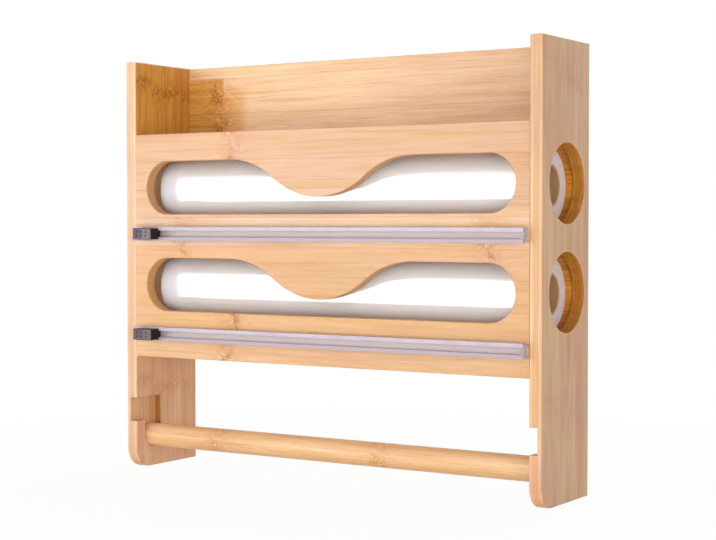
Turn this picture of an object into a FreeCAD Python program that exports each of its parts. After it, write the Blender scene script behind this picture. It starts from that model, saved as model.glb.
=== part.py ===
import FreeCAD, Part
import math
import os

os.makedirs("parts", exist_ok=True)
V = FreeCAD.Vector

# How far a cut runs past the face it leaves through, and what counts as touching
overshoot = 1.0
touching = 0.01

# Kitchen wrap dispenser: a bamboo case with a spice tray on top, two bays for wrap rolls
# with sliding cutters in front of them, and a rod for a paper towel roll underneath.
# +X is to the right seen from the front, the front faces -Y, and +Z is up.
# The origin is at the bottom centre of the whole object. All sizes are in millimetres.

# Wrap rolls
film_width = 304.0
core_overhang = 0.5
film_diameter = 50.0
core_diameter = 29.0
core_wall = 1.8
core_glue_gap = 0.03
film_edge_radius = 0.6

# Space left round the rolls
roll_gap_left = 14.6
roll_gap_right = 2.4
roll_gap_front = 0.6
roll_gap_rear = 3.4
roll_gap_under = 0.3
upper_headroom = 3.8
lower_headroom = 13.4

# Boards
panel_thickness = 9.0
front_board_thickness = 9.0
back_board_thickness = 7.0
shelf_thickness = 7.0
board_edge_radius = 0.7

# Heights
towel_space_height = 83.4
skirt_height = 19.8
tray_lip = 5.0
tray_wall_height = 53.6
back_board_set_down = 0.5
panel_foot_radius = 15.0

# Loading holes in the right panel
loading_clearance = 1.0
loading_hole_step = 0.6
loading_hole_shift = 0.9
hole_rim_radius = 0.8

# Windows in the front board, each with a tongue that hangs from its top edge
window_height = 38.7
window_end_margin = 10.0
tongue_half_width = 75.0
tongue_drop = 26.9
window_rim_radius = 0.6

# Screw holes for the wall, behind the rolls
wall_screw_spacing = 240.0
wall_screw_hole_diameter = 4.5
wall_screw_head_diameter = 8.6

# Glued dowels inside the joints
dowel_diameter = 5.0
dowel_length = 20.0
dowel_depth_in_panel = 5.0
dowel_end_gap = 0.3
dowel_fit = 0.03
dowel_chamfer = 0.5
shelf_dowel_inset = 13.0
front_dowel_inset = 8.4
back_dowel_inset = 18.0

# Cutter rails, C-shaped tracks stuck across the front board under each window
rail_gap_left = 2.5
rail_gap_right = 0.9
upper_rail_drop = 9.0
lower_rail_drop = 11.4
rail_height = 10.2
rail_body_inset = 0.9
rail_depth = 6.7
rail_flange_depth = 1.4
rail_wall = 0.9
rail_base = 2.6
rail_lip_thickness = 1.4
rail_slot_height = 4.5
rail_edge_radius = 0.3
tape_thickness = 0.8
tape_margin = 1.2

# Stops pressed into the ends of each rail, slit so that the blade's points can pass
stop_length = 2.5
stop_setback = 1.0
stop_fit = 0.05
stop_slit_gap = 0.2

# Sliders, each a cap, a foot that runs in the rail and a blade held between them.
# They are parked a little way off their left stops.
slider_park_gap = 6.9
cap_length = 17.1
cap_height = 8.1
cap_depth = 9.1
cap_crown = 0.7
cap_edge_radius = 0.8
cap_gap = 0.3
foot_length = 14.0
foot_side_gap = 0.3
foot_depth_gap = 0.4
neck_length = 14.0
boss_length = 10.0
boss_depth = 4.2
boss_fit = 0.05
slider_stop_gap = 0.4
blade_thickness = 0.4
blade_overhang = 2.6
blade_setback = 0.25
blade_tab_length = 7.0
blade_tab_cover = 0.8
blade_fit = 0.05

# Finger grip, rows of shallow dimples on the crowned face of each cap
grip_columns = 3
grip_rows = 2
grip_column_pitch = 4.2
grip_row_pitch = 2.9
grip_dimple_diameter = 1.6
grip_dimple_depth = 0.4

# Paper towel rod and the pockets that hold it
rod_diameter = 16.9
rod_end_gap = 0.7
rod_end_chamfer = 1.2
rod_seat_gap = 0.3
pocket_web = 3.0
pocket_seat_height = 14.6
pocket_lip_thickness = 9.2
pocket_lip_height = 20.3
pocket_slot_clearance = 1.5
pocket_entry_clearance = 0.6

# Places across the width
core_length = film_width + 2 * core_overhang
inner_width = core_length + roll_gap_left + roll_gap_right
case_width = inner_width + 2 * panel_thickness
inner_right = inner_width / 2
inner_left = -inner_right
roll_left = inner_left + roll_gap_left

# Places from front to back, counted from the panels' front face
bay_depth = roll_gap_front + film_diameter + roll_gap_rear
case_depth = front_board_thickness + bay_depth + back_board_thickness
slider_reach = tape_thickness + rail_depth + cap_gap + cap_depth
front_y = (slider_reach - case_depth) / 2
bay_front_y = front_y + front_board_thickness
bay_rear_y = bay_front_y + bay_depth
rear_y = front_y + case_depth
roll_y = bay_front_y + roll_gap_front + film_diameter / 2
loading_hole_y = roll_y + loading_hole_shift + loading_clearance

# Places up the height
bay_pitch = film_diameter + lower_headroom + shelf_thickness
bottom_shelf_z = towel_space_height + skirt_height
lower_bay_floor = bottom_shelf_z + shelf_thickness
upper_bay_floor = lower_bay_floor + bay_pitch
middle_shelf_z = upper_bay_floor - shelf_thickness
tray_floor_z = upper_bay_floor + film_diameter + upper_headroom
tray_surface = tray_floor_z + shelf_thickness
front_board_top = tray_surface + tray_lip
case_height = front_board_top + tray_wall_height
loading_hole_radius = film_diameter / 2 + loading_clearance
bay_axis_rise = loading_hole_step + loading_hole_radius
bay_axes = {"upper": upper_bay_floor + bay_axis_rise, "lower": lower_bay_floor + bay_axis_rise}
bay_floors = {"upper": upper_bay_floor, "lower": lower_bay_floor}

# Places of the rails and sliders
rail_drops = {"upper": upper_rail_drop, "lower": lower_rail_drop}
rail_left = inner_left + rail_gap_left
rail_right = inner_right - rail_gap_right
rail_rear_y = front_y - tape_thickness
rail_front_y = rail_rear_y - rail_depth
channel_floor_y = rail_rear_y - rail_base
lip_rear_y = rail_front_y + rail_lip_thickness
channel_half = rail_height / 2 - rail_body_inset - rail_wall
slot_half = rail_slot_height / 2
slider_x = rail_left + stop_length + slider_park_gap + foot_length / 2

# Places of the rod
slot_radius = (rod_diameter + pocket_slot_clearance) / 2
rod_y = front_y + pocket_lip_thickness + slot_radius
rod_z = pocket_seat_height + rod_seat_gap + rod_diameter / 2
pocket_depth = panel_thickness - pocket_web
pocket_ledge_z = pocket_seat_height + pocket_lip_height
pocket_ceiling_z = pocket_ledge_z + rod_diameter + pocket_entry_clearance

# Where the dowels stand in each joint, as places in the depth and the height
shelf_dowel_y = (bay_front_y + shelf_dowel_inset, bay_rear_y - shelf_dowel_inset)
front_dowel_y = front_y + front_board_thickness / 2
back_dowel_y = rear_y - back_board_thickness / 2
between_windows_z = (bay_axes["upper"] + bay_axes["lower"]) / 2
dowel_places = {
    "tray_floor": [(y, tray_floor_z + shelf_thickness / 2) for y in shelf_dowel_y],
    "middle_shelf": [(y, middle_shelf_z + shelf_thickness / 2) for y in shelf_dowel_y],
    "bottom_shelf": [(y, bottom_shelf_z + shelf_thickness / 2) for y in shelf_dowel_y],
    "front_board": [
        (front_dowel_y, towel_space_height + front_dowel_inset),
        (front_dowel_y, between_windows_z),
        (front_dowel_y, front_board_top - front_dowel_inset),
    ],
    "back_board": [
        (back_dowel_y, towel_space_height + back_dowel_inset),
        (back_dowel_y, (towel_space_height + case_height) / 2),
        (back_dowel_y, case_height - back_dowel_inset),
    ],
}


def save(name, shape):
    shape.exportStep(os.path.join("parts", name + ".step"))
    print(name, "solids", len(shape.Solids), "valid", shape.isValid(), "volume", round(shape.Volume, 1))


def box(x0, x1, y0, y1, z0, z1):
    return Part.makeBox(x1 - x0, y1 - y0, z1 - z0, V(x0, y0, z0))


def polygon_prism(points, direction):
    """A straight-sided outline, given as 3D points, swept along a direction."""
    wire = Part.makePolygon(points + [points[0]])
    return Part.Face(wire).extrude(direction)


def edges_where(shape, test):
    return [edge for edge in shape.Edges if test(edge)]


def inside(box_limits, edge):
    """True if an edge lies within limits given as (x0, x1, y0, y1, z0, z1)."""
    b = edge.BoundBox
    slack = touching
    x0, x1, y0, y1, z0, z1 = box_limits
    return (
        b.XMin > x0 - slack and b.XMax < x1 + slack
        and b.YMin > y0 - slack and b.YMax < y1 + slack
        and b.ZMin > z0 - slack and b.ZMax < z1 + slack
    )


def rounded_board(x0, x1, y0, y1, z0, z1):
    """A board between the side panels, with its long edges eased."""
    board = box(x0, x1, y0, y1, z0, z1)
    long_edges = edges_where(board, lambda e: e.BoundBox.XLength > (x1 - x0) / 2)
    return board.makeFillet(board_edge_radius, long_edges)


def dowel_hole(side, y, z):
    """The blind holes of one dowel, across the joint between a board's end and a panel."""
    start = inner_right - (dowel_length - dowel_depth_in_panel) - dowel_end_gap
    length = dowel_length + 2 * dowel_end_gap
    radius = dowel_diameter / 2 + dowel_fit
    x = start if side > 0 else -start
    return Part.makeCylinder(radius, length, V(x, y, z), V(side, 0, 0))


def cut_dowel_holes(shape, places, sides):
    for side in sides:
        for y, z in places:
            shape = shape.cut(dowel_hole(side, y, z))
    return shape


def dowel(side, y, z):
    start = inner_right - (dowel_length - dowel_depth_in_panel)
    x = start if side > 0 else -start
    pin = Part.makeCylinder(dowel_diameter / 2, dowel_length, V(x, y, z), V(side, 0, 0))
    rims = edges_where(pin, lambda e: e.BoundBox.XLength < touching)
    return pin.makeChamfer(dowel_chamfer, rims)


def dowel_group(places):
    return Part.makeCompound([dowel(side, y, z) for side in (-1, 1) for y, z in places])


def rod_pocket(side):
    """The blind L-shaped pocket for one end of the rod: a level way in from the front
    that turns down into a round-bottomed slot behind a lip."""
    x = side * inner_right
    front_edge = front_y - overshoot
    slot_front = rod_y - slot_radius
    slot_rear = rod_y + slot_radius
    slot_axis_z = pocket_seat_height + slot_radius
    corner = [
        V(x, front_edge, pocket_ceiling_z),
        V(x, slot_rear, pocket_ceiling_z),
        V(x, slot_rear, slot_axis_z),
        V(x, slot_front, slot_axis_z),
        V(x, slot_front, pocket_ledge_z),
        V(x, front_edge, pocket_ledge_z),
    ]
    edges = [
        Part.LineSegment(corner[0], corner[1]).toShape(),
        Part.LineSegment(corner[1], corner[2]).toShape(),
        Part.Arc(corner[2], V(x, rod_y, pocket_seat_height), corner[3]).toShape(),
        Part.LineSegment(corner[3], corner[4]).toShape(),
        Part.LineSegment(corner[4], corner[5]).toShape(),
        Part.LineSegment(corner[5], corner[0]).toShape(),
    ]
    return Part.Face(Part.Wire(edges)).extrude(V(side * pocket_depth, 0, 0))


def panel_outline(x):
    """The panel seen from the side: square corners, and a large round at the front foot."""
    r = panel_foot_radius
    bend = r * (1 - math.sqrt(0.5))
    foot_start = V(x, front_y, r)
    foot_end = V(x, front_y + r, 0)
    top_front = V(x, front_y, case_height)
    top_rear = V(x, rear_y, case_height)
    bottom_rear = V(x, rear_y, 0)
    return Part.Wire([
        Part.LineSegment(top_front, foot_start).toShape(),
        Part.Arc(foot_start, V(x, front_y + bend, bend), foot_end).toShape(),
        Part.LineSegment(foot_end, bottom_rear).toShape(),
        Part.LineSegment(bottom_rear, top_rear).toShape(),
        Part.LineSegment(top_rear, top_front).toShape(),
    ])


def side_panel(side):
    x_inner = side * inner_right
    panel = Part.Face(panel_outline(x_inner)).extrude(V(side * panel_thickness, 0, 0))
    rims = edges_where(panel, lambda e: e.BoundBox.XLength < touching)
    panel = panel.makeFillet(board_edge_radius, rims)
    panel = panel.cut(rod_pocket(side))
    for places in dowel_places.values():
        panel = cut_dowel_holes(panel, places, [side])
    return panel


def right_panel_with_loading_holes():
    panel = side_panel(1)
    x_outer = case_width / 2
    for axis_z in bay_axes.values():
        start = V(inner_right - overshoot, loading_hole_y, axis_z)
        hole = Part.makeCylinder(loading_hole_radius, panel_thickness + 2 * overshoot, start, V(1, 0, 0))
        panel = panel.cut(hole)
    reach = loading_hole_radius
    rims = []
    for axis_z in bay_axes.values():
        for x in (inner_right, x_outer):
            limits = (x, x, loading_hole_y - reach, loading_hole_y + reach, axis_z - reach, axis_z + reach)
            rims += edges_where(panel, lambda e: inside(limits, e) and e.BoundBox.ZLength > reach)
    return panel.makeFillet(hole_rim_radius, rims)


def window_outline(axis_z):
    """A long opening with round ends. Its top edge dips in the middle into a bell-shaped
    tongue: four equal arcs, each tangent to the next and to the straight edge."""
    y = front_y
    end_radius = window_height / 2
    half = inner_width / 2 - window_end_margin
    top = axis_z + end_radius
    bottom = axis_z - end_radius
    straight = half - end_radius
    w = tongue_half_width
    d = tongue_drop
    half_turn = math.atan2(d, w)
    tongue_radius = (w * w + d * d) / (4 * d)
    run = tongue_radius * math.sin(half_turn)
    sag = tongue_radius * (1 - math.cos(half_turn))
    profile = [(w, 0), (w - run, sag), (w / 2, d / 2), (run, d - sag), (0, d)]
    left = [V(-x, y, top - drop) for x, drop in profile]
    right = [V(x, y, top - drop) for x, drop in reversed(profile)]
    tongue = [Part.Arc(*points).toShape() for points in (left[:3], left[2:], right[:3], right[2:])]
    right_end = Part.Arc(V(straight, y, top), V(half, y, axis_z), V(straight, y, bottom))
    left_end = Part.Arc(V(-straight, y, bottom), V(-half, y, axis_z), V(-straight, y, top))
    return Part.Wire([
        Part.LineSegment(V(-straight, y, top), left[0]).toShape(),
        *tongue,
        Part.LineSegment(right[-1], V(straight, y, top)).toShape(),
        right_end.toShape(),
        Part.LineSegment(V(straight, y, bottom), V(-straight, y, bottom)).toShape(),
        left_end.toShape(),
    ])


def front_board():
    board = rounded_board(inner_left, inner_right, front_y, bay_front_y, towel_space_height, front_board_top)
    for axis_z in bay_axes.values():
        outline = window_outline(axis_z)
        outline.translate(V(0, -overshoot, 0))
        board = board.cut(Part.Face(outline).extrude(V(0, front_board_thickness + 2 * overshoot, 0)))
    half = inner_width / 2 - window_end_margin
    rims = []
    for axis_z in bay_axes.values():
        reach = window_height / 2
        for y in (front_y, bay_front_y):
            limits = (-half, half, y, y, axis_z - reach, axis_z + reach)
            rims += edges_where(board, lambda e: inside(limits, e))
    board = board.makeFillet(window_rim_radius, rims)
    return cut_dowel_holes(board, dowel_places["front_board"], (-1, 1))


def wall_screw_hole(x, z):
    """A screw hole through the back board, countersunk from the roll's side."""
    radius = wall_screw_hole_diameter / 2
    head = wall_screw_head_diameter / 2
    length = back_board_thickness + 2 * overshoot
    hole = Part.makeCylinder(radius, length, V(x, bay_rear_y - overshoot, z), V(0, 1, 0))
    sink = Part.makeCone(head, radius, head - radius, V(x, bay_rear_y, z), V(0, 1, 0))
    return hole.fuse(sink)


def back_board():
    top = case_height - back_board_set_down
    board = rounded_board(inner_left, inner_right, bay_rear_y, rear_y, towel_space_height, top)
    for axis_z in bay_axes.values():
        for side in (-1, 1):
            board = board.cut(wall_screw_hole(side * wall_screw_spacing / 2, axis_z))
    return cut_dowel_holes(board, dowel_places["back_board"], (-1, 1))


def shelf(underside_z, places):
    board = box(inner_left, inner_right, bay_front_y, bay_rear_y, underside_z, underside_z + shelf_thickness)
    return cut_dowel_holes(board, places, (-1, 1))


def rail_center(level):
    window_bottom = bay_axes[level] - window_height / 2
    return window_bottom - rail_drops[level] - rail_height / 2


def rail_section(z):
    """Half of the C-shaped section, from the slot round to the middle of the base,
    and its mirror image."""
    flange = rail_height / 2
    body = flange - rail_body_inset
    flange_rear_y = rail_front_y + rail_flange_depth
    half = [
        (rail_front_y, slot_half),
        (rail_front_y, flange),
        (flange_rear_y, flange),
        (flange_rear_y, body),
        (rail_rear_y, body),
    ]
    inner = [
        (channel_floor_y, channel_half),
        (lip_rear_y, channel_half),
        (lip_rear_y, slot_half),
    ]
    outer_points = half + [(y, -h) for y, h in reversed(half)]
    inner_points = [(y, -h) for y, h in reversed(inner)] + inner
    return [V(rail_left, y, z + h) for y, h in outer_points + inner_points]


def cutter_rail(level):
    z = rail_center(level)
    length = rail_right - rail_left
    rail = polygon_prism(rail_section(z), V(length, 0, 0))
    flange = rail_height / 2

    def on_lip(edge):
        b = edge.BoundBox
        at_edge = min(abs(abs(b.ZMin - z) - slot_half), abs(abs(b.ZMin - z) - flange)) < touching
        return b.XLength > length / 2 and abs(b.YMin - rail_front_y) < touching and at_edge

    return rail.makeFillet(rail_edge_radius, edges_where(rail, on_lip))


def rail_tape(level):
    z = rail_center(level)
    half = rail_height / 2 - rail_body_inset - tape_margin
    return box(rail_left, rail_right, rail_rear_y, front_y, z - half, z + half)


def rail_stop(level, x):
    """A plug that fills the channel and most of the slot over its own length. The slit in
    its front takes the point of the blade when the foot reaches the stop."""
    z = rail_center(level)
    wide = channel_half - stop_fit
    narrow = slot_half - stop_fit
    nose_front_y = rail_front_y + stop_setback
    block = box(x, x + stop_length, lip_rear_y + stop_fit, channel_floor_y - stop_fit, z - wide, z + wide)
    nose = box(x, x + stop_length, nose_front_y, lip_rear_y + stop_fit, z - narrow, z + narrow)
    half_slit = blade_thickness / 2 + stop_slit_gap
    slit = box(
        x - overshoot, x + stop_length + overshoot,
        nose_front_y - overshoot, blade_rear_y + stop_slit_gap, z - half_slit, z + half_slit,
    )
    return block.fuse(nose).removeSplitter().cut(slit)


def rail_stops(level):
    return Part.makeCompound([rail_stop(level, rail_left), rail_stop(level, rail_right - stop_length)])


cap_rear_y = rail_front_y - cap_gap
cap_front_y = cap_rear_y - cap_depth
neck_half = slot_half - foot_side_gap
boss_front_y = cap_rear_y - boss_depth
foot_rear_y = channel_floor_y - foot_depth_gap
foot_front_y = lip_rear_y + foot_depth_gap
blade_rear_y = (foot_rear_y + foot_front_y) / 2
blade_front_y = rail_front_y + blade_setback
blade_tab_y = boss_front_y + blade_tab_cover


def crowned_block(z):
    """The cap seen along Z: square at the rail, its front face bowed from end to end."""
    x0 = slider_x - cap_length / 2
    x1 = slider_x + cap_length / 2
    shoulder_y = cap_front_y + cap_crown
    z0 = z - cap_height / 2
    outline = Part.Wire([
        Part.LineSegment(V(x0, shoulder_y, z0), V(x0, cap_rear_y, z0)).toShape(),
        Part.LineSegment(V(x0, cap_rear_y, z0), V(x1, cap_rear_y, z0)).toShape(),
        Part.LineSegment(V(x1, cap_rear_y, z0), V(x1, shoulder_y, z0)).toShape(),
        Part.Arc(V(x1, shoulder_y, z0), V(slider_x, cap_front_y, z0), V(x0, shoulder_y, z0)).toShape(),
    ])
    return Part.Face(outline).extrude(V(0, 0, cap_height))


def grip_dimple(column, row, z):
    """A tapered cutter that sinks one dimple square to the crowned face."""
    half = cap_length / 2
    crown_radius = (half * half + cap_crown * cap_crown) / (2 * cap_crown)
    x = (column - (grip_columns - 1) / 2) * grip_column_pitch
    dimple_z = z + (row - (grip_rows - 1) / 2) * grip_row_pitch
    lean = math.asin(x / crown_radius)
    outward = V(math.sin(lean), -math.cos(lean), 0)
    crown_center = V(slider_x, cap_front_y + crown_radius, dimple_z)
    bottom = crown_center + outward * (crown_radius - grip_dimple_depth)
    rim = grip_dimple_diameter / 2
    return Part.makeCone(rim - grip_dimple_depth, rim + overshoot, grip_dimple_depth + overshoot, bottom, outward)


def slider_cap(level):
    z = rail_center(level)
    cap = crowned_block(z)
    rounded = edges_where(cap, lambda e: e.BoundBox.YMin < cap_rear_y - touching)
    cap = cap.makeFillet(cap_edge_radius, rounded)
    for column in range(grip_columns):
        for row in range(grip_rows):
            cap = cap.cut(grip_dimple(column, row, z))
    half = boss_length / 2 + boss_fit
    socket = box(
        slider_x - half, slider_x + half,
        boss_front_y - boss_fit, cap_rear_y,
        z - neck_half - boss_fit, z + neck_half + boss_fit,
    )
    return cap.cut(socket)


def blade_outline(grow):
    """The blade seen along Z: slanted cutting edges that point both ways along the rail,
    and a tab that reaches up into the boss."""
    reach = neck_length / 2 + blade_overhang
    root = neck_length / 2
    tab = blade_tab_length / 2 + grow
    return [
        (-root - grow, blade_rear_y + grow),
        (root + grow, blade_rear_y + grow),
        (reach + grow, blade_front_y - grow),
        (tab, blade_front_y - grow),
        (tab, blade_tab_y - grow),
        (-tab, blade_tab_y - grow),
        (-tab, blade_front_y - grow),
        (-reach - grow, blade_front_y - grow),
    ]


def blade_plate(level, grow):
    z = rail_center(level) - blade_thickness / 2 - grow
    points = [V(slider_x + x, y, z) for x, y in blade_outline(grow)]
    return polygon_prism(points, V(0, 0, blade_thickness + 2 * grow))


def slider_foot(level):
    z = rail_center(level)
    half = channel_half - foot_side_gap
    flange = box(
        slider_x - foot_length / 2, slider_x + foot_length / 2,
        foot_front_y, foot_rear_y, z - half, z + half,
    )
    neck = box(
        slider_x - neck_length / 2, slider_x + neck_length / 2,
        cap_rear_y, foot_front_y, z - neck_half, z + neck_half,
    )
    boss = box(
        slider_x - boss_length / 2, slider_x + boss_length / 2,
        boss_front_y, cap_rear_y, z - neck_half, z + neck_half,
    )
    foot = flange.fuse([neck, boss]).removeSplitter()
    return foot.cut(blade_plate(level, blade_fit))


def roll_z(level):
    return bay_floors[level] + roll_gap_under + film_diameter / 2


def roll_core(level):
    start = V(roll_left, roll_y, roll_z(level))
    radius = core_diameter / 2
    tube = Part.makeCylinder(radius, core_length, start, V(1, 0, 0))
    bore = Part.makeCylinder(radius - core_wall, core_length, start, V(1, 0, 0))
    return tube.cut(bore)


def film_roll(level):
    start = V(roll_left + core_overhang, roll_y, roll_z(level))
    roll = Part.makeCylinder(film_diameter / 2, film_width, start, V(1, 0, 0))
    rims = edges_where(roll, lambda e: e.BoundBox.XLength < touching)
    roll = roll.makeFillet(film_edge_radius, rims)
    bore = Part.makeCylinder(core_diameter / 2 + core_glue_gap, film_width, start, V(1, 0, 0))
    return roll.cut(bore)


def towel_rod():
    half = inner_right + pocket_depth - rod_end_gap
    rod = Part.makeCylinder(rod_diameter / 2, 2 * half, V(-half, rod_y, rod_z), V(1, 0, 0))
    rims = edges_where(rod, lambda e: e.BoundBox.XLength < touching)
    return rod.makeChamfer(rod_end_chamfer, rims)


save("left_side_panel", side_panel(-1))
save("right_side_panel", right_panel_with_loading_holes())
save("front_board", front_board())
save("back_board", back_board())
save("tray_floor", shelf(tray_floor_z, dowel_places["tray_floor"]))
save("middle_shelf", shelf(middle_shelf_z, dowel_places["middle_shelf"]))
save("bottom_shelf", shelf(bottom_shelf_z, dowel_places["bottom_shelf"]))
for joint, places in dowel_places.items():
    save(joint + "_dowels", dowel_group(places))
for level in ("upper", "lower"):
    save(level + "_cutter_rail", cutter_rail(level))
    save(level + "_rail_tape", rail_tape(level))
    save(level + "_rail_stops", rail_stops(level))
    save(level + "_slider_cap", slider_cap(level))
    save(level + "_slider_foot", slider_foot(level))
    save(level + "_slider_blade", blade_plate(level, 0.0))
    save(level + "_roll_core", roll_core(level))
    save(level + "_film_roll", film_roll(level))
save("towel_rod", towel_rod())

print("case", round(case_width, 2), round(case_depth, 2), round(case_height, 2))
print("front face y", round(front_y, 3), "rear face y", round(rear_y, 3))
print("bay axes z", {k: round(v, 2) for k, v in bay_axes.items()}, "hole y", round(loading_hole_y, 2))
print("roll y", round(roll_y, 2), "roll z", {k: round(roll_z(k), 2) for k in bay_floors})
print("rail z", {k: round(rail_center(k), 2) for k in bay_floors}, "slider x", round(slider_x, 2))
print("slider back", round(slider_park_gap - slider_stop_gap, 2))
print("slider travel", round(rail_right - stop_length - slider_stop_gap - foot_length / 2 - slider_x, 2))
print("rod y z", round(rod_y, 2), round(rod_z, 2))
print("rod lift", round(pocket_ceiling_z - rod_z - rod_diameter / 2 - rod_seat_gap, 2))
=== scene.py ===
import math

import bpy
from mathutils import Euler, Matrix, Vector


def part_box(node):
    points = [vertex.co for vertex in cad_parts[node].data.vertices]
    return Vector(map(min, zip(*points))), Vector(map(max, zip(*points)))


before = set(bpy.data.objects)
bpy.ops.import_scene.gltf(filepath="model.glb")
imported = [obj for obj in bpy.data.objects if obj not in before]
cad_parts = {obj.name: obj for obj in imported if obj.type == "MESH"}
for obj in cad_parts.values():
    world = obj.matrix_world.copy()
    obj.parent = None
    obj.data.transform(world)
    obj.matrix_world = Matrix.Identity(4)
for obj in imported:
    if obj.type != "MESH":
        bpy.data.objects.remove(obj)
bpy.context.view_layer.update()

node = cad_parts
mm = 0.001


class Bench:
    """Short ways to lay out the nodes of a finish. Inputs are sockets or plain values."""

    def __init__(self, name, block=None):
        self.material = block or bpy.data.materials.new(name)
        self.material.use_nodes = True
        self.tree = self.material.node_tree
        self.tree.nodes.clear()

    def put(self, kind, inputs=None, **settings):
        made = self.tree.nodes.new("ShaderNode" + kind)
        for key, value in settings.items():
            setattr(made, key, value)
        for key, value in (inputs or {}).items():
            if isinstance(value, bpy.types.NodeSocket):
                self.tree.links.new(value, made.inputs[key])
            else:
                made.inputs[key].default_value = value
        return made

    def math(self, operation, a, b=0.0):
        return self.put("Math", {0: a, 1: b}, operation=operation).outputs[0]

    def add(self, a, b):
        return self.math("ADD", a, b)

    def times(self, a, b):
        return self.math("MULTIPLY", a, b)

    def less(self, a, b):
        return self.math("SUBTRACT", a, b)

    def larger(self, a, b):
        return self.math("MAXIMUM", a, b)

    def fit(self, value, low, high, to_low=0.0, to_high=1.0):
        """A smooth step from low to high."""
        limits = {0: value, 1: low, 2: high, 3: to_low, 4: to_high}
        return self.put("MapRange", limits, interpolation_type="SMOOTHSTEP").outputs[0]

    def bell(self, value, centre, half):
        """1 at the centre, down to 0 at half the width to each side."""
        away = self.math("ABSOLUTE", self.less(value, centre))
        return self.fit(away, 0.0, half, 1.0, 0.0)

    def vector(self, x, y, z):
        return self.put("CombineXYZ", {0: x, 1: y, 2: z}).outputs[0]

    def stretched(self, parts, factors):
        """A place with each of its three parts taken times its own factor. The smaller the
        factor, the longer a pattern runs that way."""
        return self.vector(*(self.times(part, factor) for part, factor in zip(parts, factors)))

    def noise(self, vector, scale=1.0, detail=2.0, roughness=0.5, distortion=0.0):
        inputs = {"Vector": vector, "Scale": scale, "Detail": detail}
        inputs.update({"Roughness": roughness, "Distortion": distortion})
        return self.put("TexNoise", inputs).outputs[0]

    def chance(self, number):
        """A steady random value from 0 to 1 for each whole number."""
        return self.put("TexWhiteNoise", {"W": number}, noise_dimensions="1D").outputs[0]

    def blend(self, amount, a, b, how="MIX"):
        return self.put("Mix", {0: amount, 6: a, 7: b}, data_type="RGBA", blend_type=how).outputs[2]

    def tinted(self, amount, colour, tint):
        return self.blend(amount, colour, tint, "MULTIPLY")

    def steps(self, value, stops):
        """A colour for each stretch of the value, from (place, colour) pairs."""
        made = self.put("ValToRGB", {0: value})
        ramp = made.color_ramp
        ramp.interpolation = "CONSTANT"
        while len(ramp.elements) > 1:
            ramp.elements.remove(ramp.elements[-1])
        ramp.elements[0].position, ramp.elements[0].color = stops[0]
        for place, colour in stops[1:]:
            ramp.elements.new(place).color = colour
        return made.outputs[0]

    def bump(self, height, depth_mm, strength):
        inputs = {"Strength": strength, "Distance": depth_mm * mm, "Height": height}
        return self.put("Bump", inputs).outputs[0]

    def finish(self, inputs, lets_through=0.0):
        """Close the finish. A cloudy piece lets a share of the light through to what lies behind."""
        shader = self.put("BsdfPrincipled", inputs).outputs[0]
        if lets_through:
            ray = self.put("LightPath").outputs
            light = self.larger(ray["Is Shadow Ray"], ray["Is Diffuse Ray"])
            clear = self.put("BsdfTransparent", {0: clear_film}).outputs[0]
            mixed = {0: self.times(light, lets_through), 1: shader, 2: clear}
            shader = self.put("MixShader", mixed).outputs[0]
        self.put("OutputMaterial", {0: shader})
        return self.material


def rgb(red, green, blue):
    """A colour given as it looks on a screen, from 0 to 255."""
    def straight(v):
        v /= 255
        return v / 12.92 if v <= 0.04045 else ((v + 0.055) / 1.055) ** 2.4
    return straight(red), straight(green), straight(blue), 1.0


def tint(red, green, blue):
    """A colour to multiply by, where 1 leaves a channel as it is."""
    return red, green, blue, 1.0


def object_place(b):
    """The place on the piece in millimetres, and the way its surface faces."""
    coords = b.put("TexCoord").outputs
    in_mm = {0: coords["Object"], 1: (1 / mm,) * 3}
    place = b.put("VectorMath", in_mm, operation="MULTIPLY").outputs[0]
    return b.put("SeparateXYZ", {0: place}).outputs, b.put("SeparateXYZ", {0: coords["Normal"]}).outputs


anywhere = (None, None)


def zone(x=anywhere, y=anywhere, z=anywhere):
    """A box on the part as (low, high) along each axis in millimetres, None where it has no
    end. A third number makes the ends of that axis softer."""
    return x, y, z


def within(b, place, limits, soft=0.5):
    """1 inside a zone and 0 outside it."""
    inside = 1.0
    for axis, (low, high, *own) in zip(place, limits):
        reach = own[0] if own else soft
        for limit, way in ((low, reach), (high, -reach)):
            if limit is not None:
                inside = b.times(b.fit(axis, limit - way, limit + way), inside)
    return inside


def strip_value(b, number, values):
    """The value of a strip, from a list that repeats."""
    count = len(values)
    turn = b.math("MODULO", b.add(number, 200.0 * count), float(count))
    share = b.math("DIVIDE", b.add(turn, 0.5), float(count))
    low, high = min(values), max(values) + 1.0
    stops = [(i / count, ((v - low) / (high - low),) * 3 + (1.0,)) for i, v in enumerate(values)]
    return b.add(b.times(b.steps(share, stops), high - low), low)


pale_bamboo = rgb(254, 217, 177)
warm_bamboo = rgb(244, 194, 138)
rosy_bamboo = rgb(243, 190, 160)
ochre_bamboo = rgb(220, 158, 92)
brown_bamboo = rgb(168, 104, 48)
golden_bamboo = rgb(242, 190, 112)
light_fibre_and_rim_highlight = rgb(255, 226, 190)
knuckle_brown = rgb(178, 108, 60)
stain_red = rgb(242, 170, 150)
end_grain, end_fibre, end_light = rgb(236, 186, 130), rgb(178, 122, 70), rgb(242, 196, 144)
# Honey tint: painted shade and warm bounce light in recesses; a little of it on the rod is the rod's own
# tone.
honey_tone_and_shade = tint(0.88, 0.71, 0.20)
bore_shade = tint(0.85, 0.74, 0.8)
clear_film = rgb(250, 248, 248)


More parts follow.
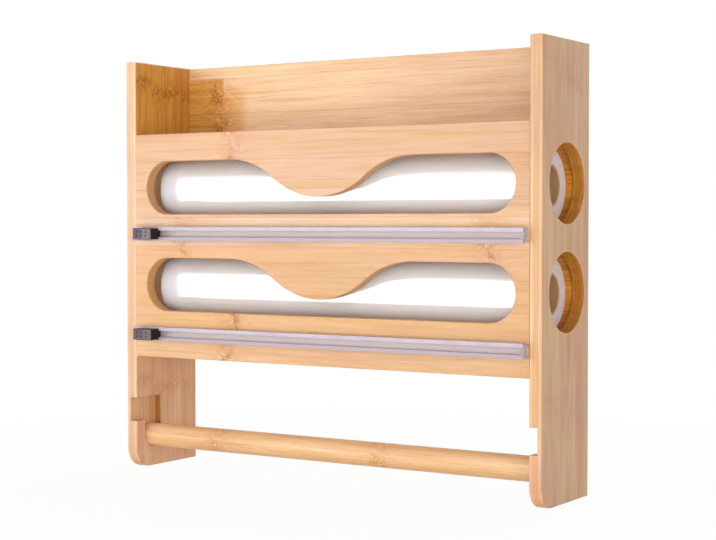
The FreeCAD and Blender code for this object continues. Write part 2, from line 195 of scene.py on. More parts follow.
class Strips:
    """How a board is laid up: the grain runs along u and the strips lie side by side across v,
    each with its own tone, fibres and knuckles."""

    def __init__(self, b, place, normal, grain, across, laid, width, first_seam, seed):
        through = next(axis for axis in "XYZ" if axis not in (grain, across))
        self.u, self.v, self.w = (place["XYZ".index(axis)] for axis in (grain, across, through))
        self.facing_through = b.math("ABSOLUTE", normal["XYZ".index(through)])
        self.facing_grain = b.math("ABSOLUTE", normal["XYZ".index(grain)])
        self.on_face = b.fit(self.facing_through, 0.35, 0.75)
        counted = b.math("DIVIDE", b.less(self.v, first_seam), width)
        self.number = b.math("FLOOR", counted)
        self.within = b.less(counted, self.number)
        self.luck = b.chance(b.add(self.number, seed))
        other_luck = b.chance(b.add(self.number, seed + 37.5))
        self.shift = b.add(b.times(self.luck, 83.0), b.times(other_luck, 31.0))
        seam_away = b.times(b.math("MINIMUM", self.within, b.less(1.0, self.within)), width)
        self.seam = b.times(b.fit(seam_away, 0.0, 0.6, 1.0, 0.0), self.on_face)
        own = [strip_value(b, self.number, values) for values in zip(*laid)]
        self.knuckle, self.strength, self.tone = own

    def near_knuckle(self, b, spacing):
        """The distance along the grain to the nearest knuckle, along a bowed and uneven line."""
        bow = b.times(b.math("POWER", b.less(self.within, 0.5), 2.0), 5.0)
        uneven = b.noise(b.vector(b.times(self.v, 0.3), self.number, self.w))
        along = b.add(b.less(self.u, self.knuckle), bow)
        along = b.add(along, b.times(b.less(uneven, 0.5), 6.0))
        nearest = b.math("ROUND", b.math("DIVIDE", along, spacing))
        return b.less(along, b.times(nearest, spacing))


knuckle_core = 9.0
knuckle_reach = 26.0
knuckle_flush = 32.0


class Fibres:
    """The fibre patterns of a board, from broad clouds down to hairs. They bend aside at each
    knuckle, which lies where the gap is 0."""

    def __init__(self, b, strips, gap):
        u, v, shift = strips.u, strips.v, strips.shift
        swing = b.noise(b.stretched((u, v, shift), (0.03, 0.12, 1.0)))
        bend = b.less(b.noise(b.stretched((u, v, shift), (0.16, 0.4, 1.0))), 0.5)
        bend = b.times(bend, b.times(b.bell(gap, 0.0, knuckle_reach), strips.strength))
        self.v = b.add(v, b.add(b.times(b.less(swing, 0.5), 2.2), b.times(bend, 7.0)))
        self.broad = self.pattern(b, strips, along=0.008, across=0.14, detail=2.0)
        self.streaks = self.pattern(b, strips, along=0.012, across=0.55, detail=3.0)
        self.fine = self.pattern(b, strips, along=0.045, across=2.4, detail=3.0)
        self.hairs = self.pattern(b, strips, along=0.11, across=6.5, detail=2.0)
        self.flecks = b.fit(self.pattern(b, strips, along=0.1, across=3.0, detail=1.0), 0.64, 0.74)
        self.rose = b.noise(b.stretched((u, v, shift), (0.011, 0.06, 1.7)))
        gold_place = b.stretched((u, self.v, shift), (0.006, 0.3, 0.6))
        self.gold = b.noise(gold_place, detail=3.0, roughness=0.6)

    def pattern(self, b, strips, along, across, detail):
        u = b.add(b.times(strips.u, along), strips.shift)
        place = b.vector(u, b.times(self.v, across), b.times(strips.w, across))
        return b.noise(place, detail=detail, roughness=0.6)


def fibre_colour(b, strips, fibres, contrast, rosy, golden):
    """The colour of the wood away from its knuckles, from pale to warm by the strip's tone."""
    colour = b.blend(b.add(b.times(strips.luck, 0.2), strips.tone), pale_bamboo, warm_bamboo)
    for share, level, other in (
        (rosy, b.fit(fibres.rose, 0.45, 0.68), rosy_bamboo),
        (golden, b.fit(fibres.gold, 0.46, 0.66), golden_bamboo),
        (0.36 * contrast, b.fit(fibres.broad, 0.42, 0.75), ochre_bamboo),
        (0.45 * contrast, b.fit(fibres.streaks, 0.48, 0.78), ochre_bamboo),
        (0.5 * contrast, b.fit(fibres.streaks, 0.44, 0.22), light_fibre_and_rim_highlight),
        (0.22 * contrast, b.fit(fibres.fine, 0.5, 0.8), brown_bamboo),
        (0.25 * contrast, b.fit(fibres.fine, 0.45, 0.2), light_fibre_and_rim_highlight),
        (0.22 * contrast, fibres.flecks, brown_bamboo),
        (0.12 * contrast, b.fit(fibres.hairs, 0.5, 0.8), brown_bamboo),
    ):
        colour = b.blend(b.times(level, share), colour, other)
    return colour


def knuckle_marks(b, colour, strips, fibres, gap):
    """Where the fibres swell and curl: a flush to one side, an ochre cloud and curling lines.
    Gives the colour and where the lines are dark."""
    near = b.times(b.bell(gap, 0.0, knuckle_core), strips.strength)
    wide = b.times(b.bell(gap, 0.0, knuckle_reach), strips.strength)
    beside = b.times(b.fit(gap, -0.8, 0.6), b.fit(gap, knuckle_flush, 4.0))
    flush = b.times(b.times(beside, strips.strength), b.fit(fibres.streaks, 0.3, 0.6))
    curls = b.noise(b.stretched((gap, fibres.v, strips.shift), (0.14, 0.24, 1.0)), distortion=1.2)
    waves = b.math("SINE", b.times(curls, 2 * math.pi * 2.6))
    patches = b.noise(b.stretched((gap, strips.v, strips.shift), (0.1, 0.14, 1.0)), detail=1.0)
    marked = b.times(near, b.fit(patches, 0.36, 0.56))
    colour = b.blend(b.times(flush, 0.4), colour, rosy_bamboo)
    colour = b.blend(b.times(b.times(wide, b.fit(curls, 0.35, 0.65)), 0.5), colour, ochre_bamboo)
    colour = b.blend(b.times(marked, 0.4), colour, ochre_bamboo)
    colour = b.blend(b.times(b.times(marked, b.fit(waves, 0.0, -0.9)), 0.6), colour, light_fibre_and_rim_highlight)
    dark = b.times(marked, b.fit(waves, 0.1, 0.95))
    return b.blend(b.times(dark, 0.7), colour, knuckle_brown), dark


def stained(b, colour, strips, place, stains):
    """Reddish blotches inside the given zones, each with its share."""
    clouds = b.noise(b.vector(b.times(strips.u, 0.06), b.times(strips.v, 0.26), 5.0))
    blotch = b.fit(clouds, 0.4, 0.65)
    for limits, share in stains:
        level = b.times(b.times(within(b, place, limits, 4.0), blotch), share)
        colour = b.blend(level, colour, stain_red)
    return colour


def cut_edges(b, colour, strips, fibres, plies):
    """The edges of a board show its plies, and its ends show the cut fibre bundles as dots.
    Gives the colour and the lines between the plies."""
    on_edge = b.fit(strips.facing_through, 0.75, 0.35)
    ply_line = 0.0
    for level in plies:
        ply_line = b.larger(ply_line, b.times(b.bell(strips.w, level, 0.4), on_edge))
    if plies:
        low, high = plies
        middle_ply = b.times(b.fit(strips.w, low - 0.1, low + 0.1), b.fit(strips.w, high + 0.1, high - 0.1))
        colour = b.blend(b.times(b.times(middle_ply, on_edge), 0.3), colour, ochre_bamboo)
    bundles = {"Vector": b.vector(strips.v, strips.w, strips.shift), "Scale": 1.15}
    dots = b.fit(b.put("TexVoronoi", bundles).outputs[0], 0.42, 0.16)
    dotted = b.blend(dots, end_grain, end_fibre)
    dotted = b.blend(b.times(b.fit(fibres.broad, 0.3, 0.7), 0.4), dotted, end_light)
    colour = b.blend(b.times(b.fit(strips.facing_grain, 0.55, 0.9), 0.8), colour, dotted)
    colour = b.blend(b.times(strips.seam, 0.2), colour, brown_bamboo)
    return b.blend(b.times(ply_line, 0.3), colour, brown_bamboo), ply_line


def honey_and_painted_shade(b, colour, strips, fibres, place, honey_and_shade_zones, bores):
    """Painted shade: the zones given get a deeper honey colour and stronger fibres, for shade and bounce
    light in recesses; a little honey on the rod is its own tone. A bore gets painted shade inside a painted
    highlight rim."""
    honey_and_shade_share = 0.0
    for limits, share in honey_and_shade_zones:
        honey_and_shade_share = b.larger(honey_and_shade_share, b.times(within(b, place, limits), share))
    for bore_y, bore_z in bores:
        apart = {0: b.vector(strips.v, strips.u, 0.0), 1: (bore_y, bore_z, 0.0)}
        away = b.put("VectorMath", apart, operation="DISTANCE").outputs["Value"]
        inside = b.fit(away, bore_radius, bore_radius - 0.5)
        honey_and_shade_share = b.larger(honey_and_shade_share, inside)
        # Painted highlight: a light ring on the rim of the bore.
        colour = b.blend(b.times(b.bell(away, bore_radius + 0.25, 0.6), 0.5), colour, light_fibre_and_rim_highlight)
        # Painted shade inside the bore.
        colour = b.tinted(inside, colour, bore_shade)
    # Painted shade in the honey zones: stronger fibres, then the honey tint.
    strong = b.fit(b.add(b.times(fibres.fine, 0.5), b.times(fibres.streaks, 0.5)), 0.42, 0.62)
    colour = b.blend(b.times(b.times(honey_and_shade_share, strong), 0.35), colour, brown_bamboo)
    return b.tinted(honey_and_shade_share, colour, honey_tone_and_shade)


def bamboo(name, grain, across, laid, width, first_seam, spacing, seed, plies=(), honey_and_shade_zones=(), bores=(),
           stains=(), light_and_shade_tints=(), shade=None, contrast=1.0, rosy=0.55, golden=0.3, sheen=0.04,
           faint_below=None):
    """Laminated bamboo. Each strip in laid has the place of its knuckle along the grain, how
    strong that is, and a tone from pale (0) to warm (1). Strips are width wide from the first
    seam, and knuckles come back after each spacing."""
    b = Bench(name)
    place, normal = object_place(b)
    strips = Strips(b, place, normal, grain, across, laid, width, first_seam, seed)
    if plies:
        strips.strength = b.times(strips.strength, strips.on_face)
    if faint_below is not None:
        fainter = b.fit(strips.u, faint_below - 30.0, faint_below, 0.4, 1.0)
        strips.strength = b.times(strips.strength, fainter)
    gap = strips.near_knuckle(b, spacing)
    fibres = Fibres(b, strips, gap)

    colour = fibre_colour(b, strips, fibres, contrast, rosy, golden)
    colour, curled = knuckle_marks(b, colour, strips, fibres, gap)
    if stains:
        colour = stained(b, colour, strips, place, stains)
    colour, ply_line = cut_edges(b, colour, strips, fibres, plies)
    colour = honey_and_painted_shade(b, colour, strips, fibres, place, honey_and_shade_zones, bores)
    # Painted shade on the outward faces only, which leaves edges and rims lighter.
    if shade:
        colour = b.tinted(strips.on_face, colour, shade)
    # Painted shade and light: each zone is multiplied by its tint, mostly darker, in places lighter.
    for limits, other in light_and_shade_tints:
        colour = b.tinted(within(b, place, limits), colour, other)

    height = b.add(b.times(fibres.fine, 0.6), b.times(fibres.hairs, 0.4))
    height = b.less(height, b.times(b.larger(strips.seam, ply_line), 0.8))
    height = b.less(height, b.times(curled, 0.3))
    return b.finish({
        "Base Color": colour, "Roughness": b.fit(fibres.fine, 0.3, 0.8, 0.38, 0.5),
        "Normal": b.bump(height, 0.05, 0.5), "Coat Weight": sheen, "Coat Roughness": 0.2,
        "Specular IOR Level": 0.2,
    })


def moulded(name, colour, speckle, rough, grain_mm, depth_mm, milky=0.0, end_shade_colour=None, shade_zones=(),
            front_gloss=0.0):
    """Moulded or extruded plastic with a fine texture. Milky plastic lets some light in, faces turned
    sideways and the shade zones take other colours, which on the rails are painted shade, and a polished
    front face has more gloss."""
    b = Bench(name)
    place, normal = object_place(b)
    fine = b.noise(b.vector(*place), 1.0 / grain_mm, roughness=0.6)
    cloudy = b.noise(b.vector(*place), 0.09, detail=3.0, roughness=0.6)
    drawn = b.noise(b.stretched(place, (0.01, 1.5, 1.5)), roughness=0.6)
    colour = b.blend(b.fit(cloudy, 0.35, 0.7), colour, speckle)
    colour = b.blend(b.times(b.fit(drawn, 0.4, 0.7), 0.5), colour, speckle)
    colour = b.blend(b.times(b.fit(fine, 0.5, 0.8), 0.35), colour, speckle)
    # Zones in their own colours, which on the rails are painted shade.
    for limits, other in shade_zones:
        colour = b.blend(within(b, place, limits, 0.2), colour, other)
    # Painted shade on the faces turned sideways, such as the ends of a rail.
    if end_shade_colour:
        colour = b.blend(b.fit(b.math("ABSOLUTE", normal[0]), 0.85, 0.95), colour, end_shade_colour)
    gloss = b.times(b.fit(normal[1], -0.6, -0.9), front_gloss) if front_gloss else 0.0
    return b.finish({
        "Base Color": colour, "Roughness": b.fit(cloudy, 0.3, 0.7, rough - 0.06, rough + 0.06),
        "Normal": b.bump(fine, depth_mm, 0.35), "Specular IOR Level": 0.2,
        "Coat Weight": gloss, "Coat Roughness": 0.18,
        "Subsurface Weight": milky, "Subsurface Radius": (1.0, 1.0, 1.0), "Subsurface Scale": 0.002,
    })


def from_axis(b, y, z, axis_y, axis_z):
    """Where a point lies from a roll's axis: back, up and by its radius."""
    dy = b.less(y, axis_y)
    dz = b.less(z, axis_z)
    squares = b.add(b.math("POWER", dy, 2.0), b.math("POWER", dz, 2.0))
    return dy, dz, b.math("SQRT", squares)


def wound_film(name, axis_y, axis_z):
    """Clear film wound tight: milky and glossy, but dull at the left end where the layers slipped, and
    greyed there as painted shade.
    """
    b = Bench(name)
    (x, y, z), normal = object_place(b)
    dy, dz, radius = from_axis(b, y, z, axis_y, axis_z)
    on_end = b.fit(b.math("ABSOLUTE", normal[0]), 0.6, 0.9)
    glossy = b.fit(x, dull_and_shaded_end - 4.0, dull_and_shaded_end + 5.0)
    bands = b.noise(b.stretched((x, dy, dz), (0.03, 0.004, 0.004)), detail=3.0, roughness=0.6)
    ridges = b.noise(b.stretched((x, dy, dz), (0.003, 0.45, 0.45)), detail=3.0, roughness=0.6)
    slack = b.noise(b.stretched((x, dy, dz), (0.012, 0.07, 0.07)), detail=1.0)
    layers = b.noise(b.stretched((radius, dy, dz), (2.2, 0.02, 0.02)), detail=3.0, roughness=0.7)
    colour = b.blend(b.fit(bands, 0.35, 0.7), rgb(242, 246, 255), rgb(247, 250, 255))
    colour = b.blend(b.times(b.fit(ridges, 0.5, 0.8), 0.3), colour, rgb(206, 204, 224))
    # Painted shade: the dull left end is greyer.
    colour = b.blend(b.times(b.less(1.0, glossy), 0.6), colour, rgb(206, 200, 212))
    ends = b.blend(b.fit(layers, 0.3, 0.7), rgb(255, 252, 254), rgb(244, 238, 244))
    colour = b.blend(on_end, colour, ends)
    height = b.add(b.times(ridges, 0.5), b.times(slack, 1.5))
    height = b.add(height, b.times(layers, on_end))
    return b.finish({
        "Base Color": colour, "Roughness": b.fit(glossy, 0.0, 1.0, 0.85, 0.12), "IOR": 1.6,
        "Normal": b.bump(height, 0.12, 1.0), "Coat Weight": glossy,
        "Coat Roughness": 0.04, "Coat IOR": 1.65,
        "Subsurface Weight": b.fit(on_end, 0.0, 1.0, 0.8, 0.0), "Subsurface Radius": (1.0, 0.95, 0.95),
        "Subsurface Scale": 0.03,
    }, lets_through=0.85)


def wound_board(name, axis_y, axis_z):
    """Grey-brown board wound on a slant into a tube, with its plies at the ends."""
    b = Bench(name)
    (x, y, z), normal = object_place(b)
    dy, dz, radius = from_axis(b, y, z, axis_y, axis_z)
    turn = b.math("DIVIDE", b.math("ARCTAN2", dz, dy), 2 * math.pi)
    slant = b.math("FRACT", b.add(b.times(x, 1 / winding_pitch), turn))
    butt = b.bell(slant, 0.5, 0.012)
    plies = b.fit(b.math("SINE", b.times(radius, 2 * math.pi / tube_ply)), 0.0, 1.0)
    pulp = b.noise(b.vector(x, y, z), 1.6, detail=4.0, roughness=0.65)
    fibre = b.noise(b.stretched((x, y, z), (0.5, 2.0, 2.0)), detail=3.0, roughness=0.6)
    on_end = b.fit(b.math("ABSOLUTE", normal[0]), 0.6, 0.9)
    colour = b.blend(b.fit(pulp, 0.3, 0.7), rgb(214, 174, 132), rgb(194, 150, 106))
    colour = b.blend(b.times(b.fit(fibre, 0.5, 0.8), 0.4), colour, rgb(170, 132, 92))
    colour = b.blend(b.times(b.times(plies, on_end), 0.5), colour, rgb(150, 114, 78))
    colour = b.blend(b.times(butt, 0.6), colour, rgb(140, 106, 72))
    height = b.less(b.times(pulp, 0.8), butt)
    return b.finish({"Base Color": colour, "Roughness": 0.85, "Normal": b.bump(height, 0.08, 0.6)})


def ground_steel(name):
    """Bare steel with the fine lines that the grinding leaves."""
    b = Bench(name)
    place, _ = object_place(b)
    lines = b.noise(b.stretched(place, (0.4, 9.0, 0.4)), detail=3.0, roughness=0.6)
    colour = b.blend(b.fit(lines, 0.3, 0.7), rgb(186, 188, 192), rgb(150, 152, 158))
    return b.finish({
        "Base Color": colour, "Metallic": 1.0, "Roughness": b.fit(lines, 0.3, 0.7, 0.22, 0.36),
        "Normal": b.bump(lines, 0.01, 0.3),
    })


def dress(material, *names):
    for name in names:
        slots = node[name].data.materials
        slots.clear()
        slots.append(material)


def span(name, axis):
    """Where a node begins and ends along an axis, in millimetres."""
    low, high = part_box(name)
    return low["XYZ".index(axis)] / mm, high["XYZ".index(axis)] / mm


def middle(name, axis):
    return sum(span(name, axis)) / 2


# Places on the part, in millimetres
levels = ("upper", "lower")
case_front, case_back = span("left_side_panel", "Y")
case_top = span("left_side_panel", "Z")[1]
inner = span("tray_floor", "X")[1]
tray_top = span("tray_floor", "Z")[1]
skirt_low = span("front_board", "Z")[0]
front_board_rear = span("front_board", "Y")[1]
back_board_face = span("back_board", "Y")[0]
outer = span("right_side_panel", "X")[1]
rail_front = span("upper_cutter_rail", "Y")[0]
roll_y = middle("upper_film_roll", "Y")
roll_z = {level: middle(level + "_film_roll", "Z") for level in levels}
rail_z = {level: middle(level + "_cutter_rail", "Z") for level in levels}
loading_holes = ((9.95, 207.2), (9.95, 136.8))
bore_radius = 26.7
seen_through_holes = (118.0, None)
pocket_depth, pocket_y, pocket_z = 6.0, (case_front + 0.35, 1.3), (14.4, 52.6)
panel_y = (case_front + 0.35, case_back - 0.25)
panel_strips = {"grain": "Z", "across": "Y", "width": 18.5, "first_seam": -8.3}

# Details of the rolls, in millimetres
dull_and_shaded_end = -130.0
winding_pitch = 52.0
tube_ply = 0.6


def across(side, near, far):
    """A stretch of X from two distances on the left (-1) or right (1) side."""
    return tuple(sorted((side * near, side * far)))


def rod_pocket(side):
    """All of a rod pocket, its walls without the floor, and the wall at its rear end."""
    floor = inner + pocket_depth
    walls = across(side, inner + 0.4, floor - 0.3)
    whole = zone(across(side, inner + 0.4, floor + 1.5), pocket_y, pocket_z)
    return whole, zone(walls, pocket_y, pocket_z), zone(walls, (0.6, 2.0, 0.2), pocket_z)


# Painted shade on the rear wall of each rod pocket.
pocket_end_shade = tint(0.68, 0.63, 0.45)


def left_panel():
    face = across(-1, inner + 0.4, inner - 1.0)
    tray_wall = zone(face, panel_y, (tray_top - 0.4, case_top - 0.6))
    low_wall = zone(face, panel_y, (None, skirt_low - 0.4))
    front_edge = zone(y=(None, case_front + 0.65))
    pocket, pocket_walls, pocket_end = rod_pocket(-1)
    finish = bamboo(
        "bamboo_left_panel", **panel_strips, spacing=221.0, seed=3.0, plies=(-167.0, -164.0),
        laid=((57.0, 0.8, 0.1), (60.0, 1.1, 0.0), (56.0, 1.0, 0.1), (64.0, 1.0, 0.0)),
        # Painted shade: a honey tint on the tray's inner wall and in the pocket.
        honey_and_shade_zones=((tray_wall, 1.0), (pocket, 0.2), (pocket_walls, 0.75)),
        # Painted shade: darker in the pocket, on its rear wall, the tray wall, the low inner wall and the
        # front edge.
        light_and_shade_tints=(
            (pocket_end, pocket_end_shade), (pocket, tint(0.88, 0.87, 0.94)),
            (tray_wall, tint(0.88, 0.85, 0.98)), (low_wall, tint(0.85, 0.81, 0.84)),
            (front_edge, tint(0.92, 0.93, 0.99)),
        ),
        faint_below=180.0,
    )
    dress(finish, "left_side_panel")


def right_panel():
    face = across(1, inner + 0.4, inner - 1.0)
    inner_wall = zone(face, panel_y, (skirt_low, case_top - 0.6))
    outside = (outer - 2.0, None)
    front_edge = (None, case_front + 0.65)
    pocket, pocket_walls, pocket_end = rod_pocket(1)
    finish = bamboo(
        "bamboo_right_panel", **panel_strips, spacing=217.0, seed=11.0, plies=(164.0, 167.0),
        laid=((62.0, 0.1, 0.0), (57.0, 0.2, 0.0), (55.0, 0.25, 0.0), (66.0, 0.15, 0.0)),
        # Painted shade: a honey tint on the inner wall and in the pocket; the loading holes get painted
        # shade inside and a painted highlight on the rim.
        honey_and_shade_zones=((inner_wall, 0.9), (pocket, 0.2), (pocket_walls, 0.75)), bores=loading_holes,
        stains=(
            (zone(outside, (-8.0, 30.0), (266.0, 292.0)), 0.6),
            (zone(outside, (30.0, 42.0), (226.0, 250.0)), 0.6),
            (zone(outside, (-8.0, 32.0), (42.0, 74.0)), 0.6),
        ),
        # Painted shade on the pocket's rear wall and the front edge, darker still above z 140 mm.
        light_and_shade_tints=(
            (pocket_end, pocket_end_shade), (zone(y=front_edge), tint(0.9, 0.87, 0.85)),
            (zone(y=front_edge, z=(140.0, None, 60.0)), tint(0.93, 0.96, 0.94)),
        ),
        # Painted shade on the outer face.
        shade=tint(0.77, 0.745, 0.755), rosy=0.7,
    )
    dress(finish, "right_side_panel")


def front_board():
    rear_by_holes = zone(seen_through_holes, (front_board_rear - 0.35, None))
    top, bottom = (190.0, None, 12.0), (None, 138.0, 22.0)
    strip_under_window = zone((20.0, None, 30.0), z=(165.0, 190.0, 4.0))
    lower_tongue = zone((-50.0, 60.0, 30.0), z=(122.0, 162.0, 8.0))
    finish = bamboo(
        "bamboo_front_board", grain="X", across="Z", width=20.4, first_seam=skirt_low, spacing=250.0,
        seed=23.0, plies=(-23.5, -20.5),
        laid=(
            (-79.0, 1.1, 0.35), (-72.0, 1.2, 0.8), (-104.0, 0.2, 0.95), (-116.0, 0.8, 1.0),
            (-119.0, 0.8, 0.0), (-64.0, 0.2, 0.55), (-88.0, 0.2, 0.6), (-72.5, 1.0, 0.7),
        ),
        # Painted shade on the rear face where it shows through the loading holes.
        honey_and_shade_zones=((rear_by_holes, 0.9),),
        # Painted shade at the top and towards the right; also less blue towards the bottom, lighter under
        # the upper window and darker on the lower tongue.
        light_and_shade_tints=(
            (zone(z=top), tint(0.955, 0.943, 1.0)), (zone(z=bottom), tint(0.99, 0.975, 0.85)),
            (strip_under_window, tint(1.09, 1.09, 1.05)),
            (zone((-20.0, None, 90.0)), tint(0.94, 0.93, 0.93)),
            (zone((110.0, None, 60.0)), tint(0.98, 0.97, 0.93)),
            (lower_tongue, tint(0.93, 0.94, 0.92)),
        ),
        # The shade on the faces is partly the board's own tone and partly painted shade.
        shade=tint(0.87, 0.87, 0.96), contrast=1.05, rosy=0.35, golden=0.4,
    )
    dress(finish, "front_board")


def back_board():
    """Painted shade on the face turned to the room: a honey tint inside the bays and in a patch with a
    fringe at the tray's left end, darker at the top right, and painted light where the face shows through
    the holes."""
    face = (None, back_board_face + 0.55)
    bays = (83.0, 238.0)
    finish = bamboo(
        "bamboo_back_board", grain="X", across="Z", width=27.0, first_seam=237.0, spacing=420.0,
        seed=41.0, plies=(38.8, 41.1),
        laid=(
            (-130.0, 1.6, 0.0), (-134.0, 1.6, 0.05), (-60.0, 0.0, 0.0),
            (-96.0, 0.4, 0.2), (-118.0, 0.3, 0.3), (-60.0, 0.3, 0.1),
        ),
        # Painted shade: a honey tint in the bays, deepest behind the holes, and in a patch and fringe at
        # the tray's left end.
        honey_and_shade_zones=(
            (zone((None, 118.0), face, bays), 0.2), (zone(seen_through_holes, face, bays), 1.0),
            (zone((None, -128.0, 1.0), face, (253.0, 290.5, 2.0)), 0.85),
            (zone((None, -128.0), face, (236.0, 255.0)), 0.4),
            (zone((None, -108.0, 7.0), face, (None, 280.0, 7.0)), 0.7),
            (zone((None, -150.0, 9.0), face), 0.35),
            (zone((-128.0, None), face, (236.0, 264.0)), 0.1),
        ),
        # Painted shade at the top right; painted light where the face shows through the holes.
        light_and_shade_tints=(
            (zone((10.0, None, 50.0), face, (262.0, None, 6.0)), tint(0.87, 0.85, 0.86)),
            (zone(seen_through_holes, face, bays), tint(1.3, 1.08, 1.0)),
        ),
        contrast=1.4, rosy=0.15,
    )
    dress(finish, "back_board")


def shelves():
    finish = bamboo(
        "bamboo_shelves", grain="X", across="Y", width=18.0, first_seam=-17.5, spacing=230.0, seed=57.0,
        laid=((-90.0, 0.5, 0.1), (-62.0, 0.4, 0.3), (-120.0, 0.5, 0.2)),
        # Painted shade where the shelves show through the loading holes.
        honey_and_shade_zones=((zone(seen_through_holes, z=(100.0, 234.6)), 0.8),),
    )
    dress(finish, "tray_floor", "middle_shelf", "bottom_shelf")


def rod_and_dowels():
    finish = bamboo(
        "bamboo_rod", grain="X", across="Z", width=60.0, first_seam=0.0, spacing=137.0, seed=71.0,
        laid=((-96.0, 0.6, 0.4),), honey_and_shade_zones=((zone(), 0.1),), contrast=1.3, rosy=0.1, sheen=0.0,
    )
    boards = ("tray_floor", "middle_shelf", "bottom_shelf", "front_board", "back_board")
    dress(finish, "towel_rod", *(board + "_dowels" for board in boards))


def rails():
    """Milky extrusions with painted shade on the lower lip and the ends, a slot darker partly as painted
    shade and partly from the wood behind it, their stops and the foam tape.
    """
    # Painted shade on the ends of the rails and stops.
    end_shade_plastic = rgb(194, 180, 184)
    lip = (None, rail_front + 2.05)
    # Painted shade on the lower lips; the slot is darker partly as painted shade and partly from the wood
    # behind it.
    shade_zones = [(zone(y=lip, z=(z - 6.0, z - 2.0)), rgb(184, 168, 175)) for z in rail_z.values()]
    shade_zones.append((zone(y=(rail_front + 1.55, None)), rgb(203, 187, 188)))
    rail = moulded(
        "milky_rail", rgb(205, 194, 206), rgb(194, 182, 196), rough=0.32, grain_mm=0.8, depth_mm=0.01,
        milky=0.3, end_shade_colour=end_shade_plastic, shade_zones=shade_zones,
    )
    stop = moulded(
        "milky_stop", rgb(196, 184, 184), rgb(184, 172, 174), rough=0.4, grain_mm=0.5, depth_mm=0.01,
        milky=0.3, end_shade_colour=end_shade_plastic,
    )
    tape = moulded(
        "foam_tape", rgb(232, 230, 226), rgb(214, 212, 208), rough=0.8, grain_mm=0.5, depth_mm=0.05,
    )
    for level in levels:
        dress(rail, level + "_cutter_rail")
        dress(stop, level + "_rail_stops")
        dress(tape, level + "_rail_tape")


def cutters():
    """Black caps, of which the upper one catches more light, on black feet with steel blades."""
    foot = moulded(
        "black_foot", rgb(26, 22, 23), rgb(38, 33, 35), rough=0.5, grain_mm=0.3, depth_mm=0.02,
    )
    steel = ground_steel("ground_steel")
    for level, gloss in (("upper", 0.63), ("lower", 0.33)):
        cap = moulded(
            "black_cap_" + level, rgb(43, 24, 31), rgb(54, 34, 42), rough=0.4, grain_mm=0.3,
            depth_mm=0.02, front_gloss=gloss,
        )
        dress(cap, level + "_slider_cap")
        dress(foot, level + "_slider_foot")
        dress(steel, level + "_slider_blade")


def rolls():
    for level in levels:
        dress(wound_film("film_" + level, roll_y, roll_z[level]), level + "_film_roll")
        dress(wound_board("board_tube_" + level, roll_y, roll_z[level]), level + "_roll_core")


lamp_white = (1.0, 0.995, 0.99)
plain_white = (1, 1, 1, 1)
lilac_white = (0.95, 0.96, 1.0, 1.0)


def plain_floor():
    """A pale floor that keeps the shadow near the part and runs out into the white."""
    bpy.ops.object.select_all(action="DESELECT")
    bpy.ops.mesh.primitive_plane_add(size=14.0, location=(0, 0, -0.0002))
    floor = bpy.context.object
    floor.name = "floor"
    b = Bench("pale_floor")
    seen = b.put("LightPath").outputs
    place = b.put("TexCoord").outputs["Object"]
    away = b.put("VectorMath", {0: place}, operation="LENGTH").outputs["Value"]
    matt = b.put("BsdfDiffuse", {"Color": rgb(240, 238, 235)}).outputs[0]
    glow = b.put("Emission", {"Color": plain_white, "Strength": 1.0}).outputs[0]
    white = b.times(seen["Is Camera Ray"], b.fit(away, 0.12, 0.6, 0.955, 1.0))
    white = b.larger(white, b.larger(seen["Is Glossy Ray"], seen["Is Transmission Ray"]))
    b.put("OutputMaterial", {0: b.put("MixShader", {0: white, 1: matt, 2: glow}).outputs[0]})
    floor.data.materials.append(b.material)
    floor.visible_glossy = False


def studio_air(level):
    """White behind the part for the camera, for gloss and for glass, and an even grey room
    to all other rays."""
    world = bpy.data.worlds.new("studio")
    bpy.context.scene.world = world
    b = Bench("studio", world)
    seen = b.put("LightPath").outputs
    _, forward, up = b.put("SeparateXYZ", {0: b.put("TexCoord").outputs["Generated"]}).outputs
    mirrored = b.larger(seen["Is Glossy Ray"], seen["Is Transmission Ray"])
    behind = b.larger(b.fit(forward, 0.0, 0.3), b.fit(up, 0.0, -0.1))
    share = b.larger(seen["Is Camera Ray"], b.times(mirrored, behind))
    room = b.put("Background", {0: (*lamp_white, 1.0), 1: level}).outputs[0]
    white = b.put("Background", {0: plain_white, 1: 1.0}).outputs[0]
    b.put("OutputWorld", {0: b.put("MixShader", {0: share, 1: room, 2: white}).outputs[0]})


def soft_box(name, place, aim, width, height, level):
    """A soft box at a place, turned to face another, as bright as level where white is 1."""
    lamp = bpy.data.lights.new(name, "AREA")
    lamp.shape = "RECTANGLE"
    lamp.size = width
    lamp.size_y = height
    lamp.energy = level * math.pi * width * height
    lamp.color = lamp_white
    box = bpy.data.objects.new(name, lamp)
    bpy.context.scene.collection.objects.link(box)
    box.location = place
    box.rotation_euler = (Vector(aim) - Vector(place)).to_track_quat("-Z", "Y").to_euler()
    box.visible_camera = False
    return box


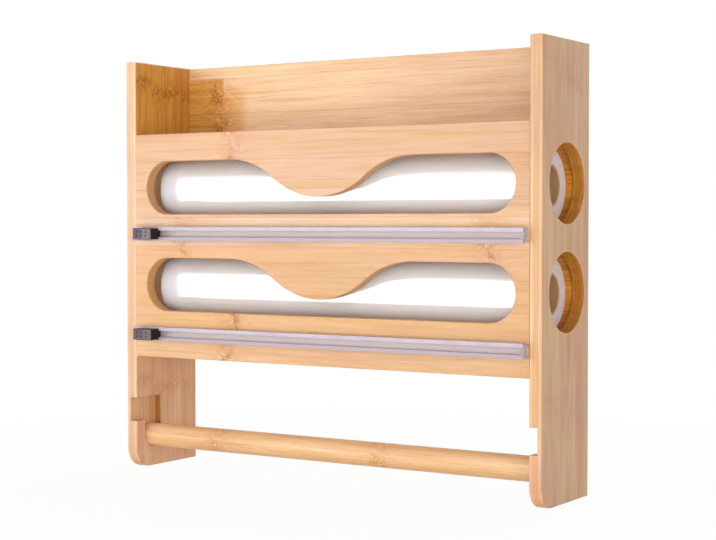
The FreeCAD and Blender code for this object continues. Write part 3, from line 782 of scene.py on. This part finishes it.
def shine_card(name, y, left_edge, right, level, colour):
    """An upright card that shows as a reflection and lights nothing. Its left edge runs
    through three points, each a height and a place across."""
    bpy.ops.object.select_all(action="DESELECT")
    bpy.ops.mesh.primitive_grid_add(x_subdivisions=1, y_subdivisions=2, size=2.0)
    card = bpy.context.object
    card.name = name
    for corner in card.data.vertices:
        height, left = left_edge[round(corner.co.y) + 1]
        corner.co = (left if corner.co.x < 0 else right, y, height)
    b = Bench(name)
    b.put("OutputMaterial", {0: b.put("Emission", {"Color": colour, "Strength": level}).outputs[0]})
    card.data.materials.append(b.material)
    card.visible_camera = False
    card.visible_diffuse = False
    card.visible_shadow = False


def studio():
    """The floor, the air and the lamps, with three cards that show in the film's gloss."""
    plain_floor()
    studio_air(0.44)
    soft_box("key", (-0.54, -1.13, 0.48), (0.0, -0.02, 0.2), 0.80, 0.95, 1.1)
    bright_edge = ((-0.9, -1.33), (0.2, -1.12), (1.0, -1.28))
    upper_edge = ((0.0, -3.2), (1.5, -3.2), (3.0, -3.2))
    lower_edge = ((-3.6, -3.2), (-1.8, -3.2), (0.0, -3.2))
    shine_card("bright_card", -1.20, bright_edge, -0.35, 5.0, plain_white)
    shine_card("upper_dim_card", -1.35, upper_edge, -0.2, 2.3, lilac_white)
    shine_card("lower_dim_card", -1.35, lower_edge, -0.2, 4.2, lilac_white)
    soft_box("front_fill", (1.5, -1.25, 0.3), (0.0, 0.0, 0.15), 1.4, 0.7, 3.1)
    soft_box("low_fill", (0.0, -0.55, 0.076), (0.0, 0.0, 0.1), 1.0, 0.15, 2.3)
    soft_box("floor_fill", (-0.1, -1.05, 0.003), (-0.1, -1.05, 1.0), 2.6, 1.6, 0.42)
    rear_fill = soft_box("rear_fill", (0.0, 1.0, 1.1), (0.0, 0.05, 0.2), 0.3, 0.9, 6.5)
    rear_fill.visible_glossy = False


def photo_camera():
    """The photograph's viewing angle, fitted to the edges of the case."""
    lens = bpy.data.cameras.new("camera")
    lens.sensor_width = 36.0
    lens.lens = 79.873
    lens.clip_start = 0.01
    camera = bpy.data.objects.new("camera", lens)
    bpy.context.scene.collection.objects.link(camera)
    camera.location = (0.60733, -0.92720, 0.18196)
    looking_down, turned_left = 1.713, 32.521
    camera.rotation_euler = Euler((math.radians(90 - looking_down), 0, math.radians(turned_left)))
    bpy.context.scene.camera = camera


left_panel()
right_panel()
front_board()
back_board()
shelves()
rod_and_dowels()
rails()
cutters()
rolls()
studio()
photo_camera()
bpy.context.scene.view_settings.view_transform = "Standard"
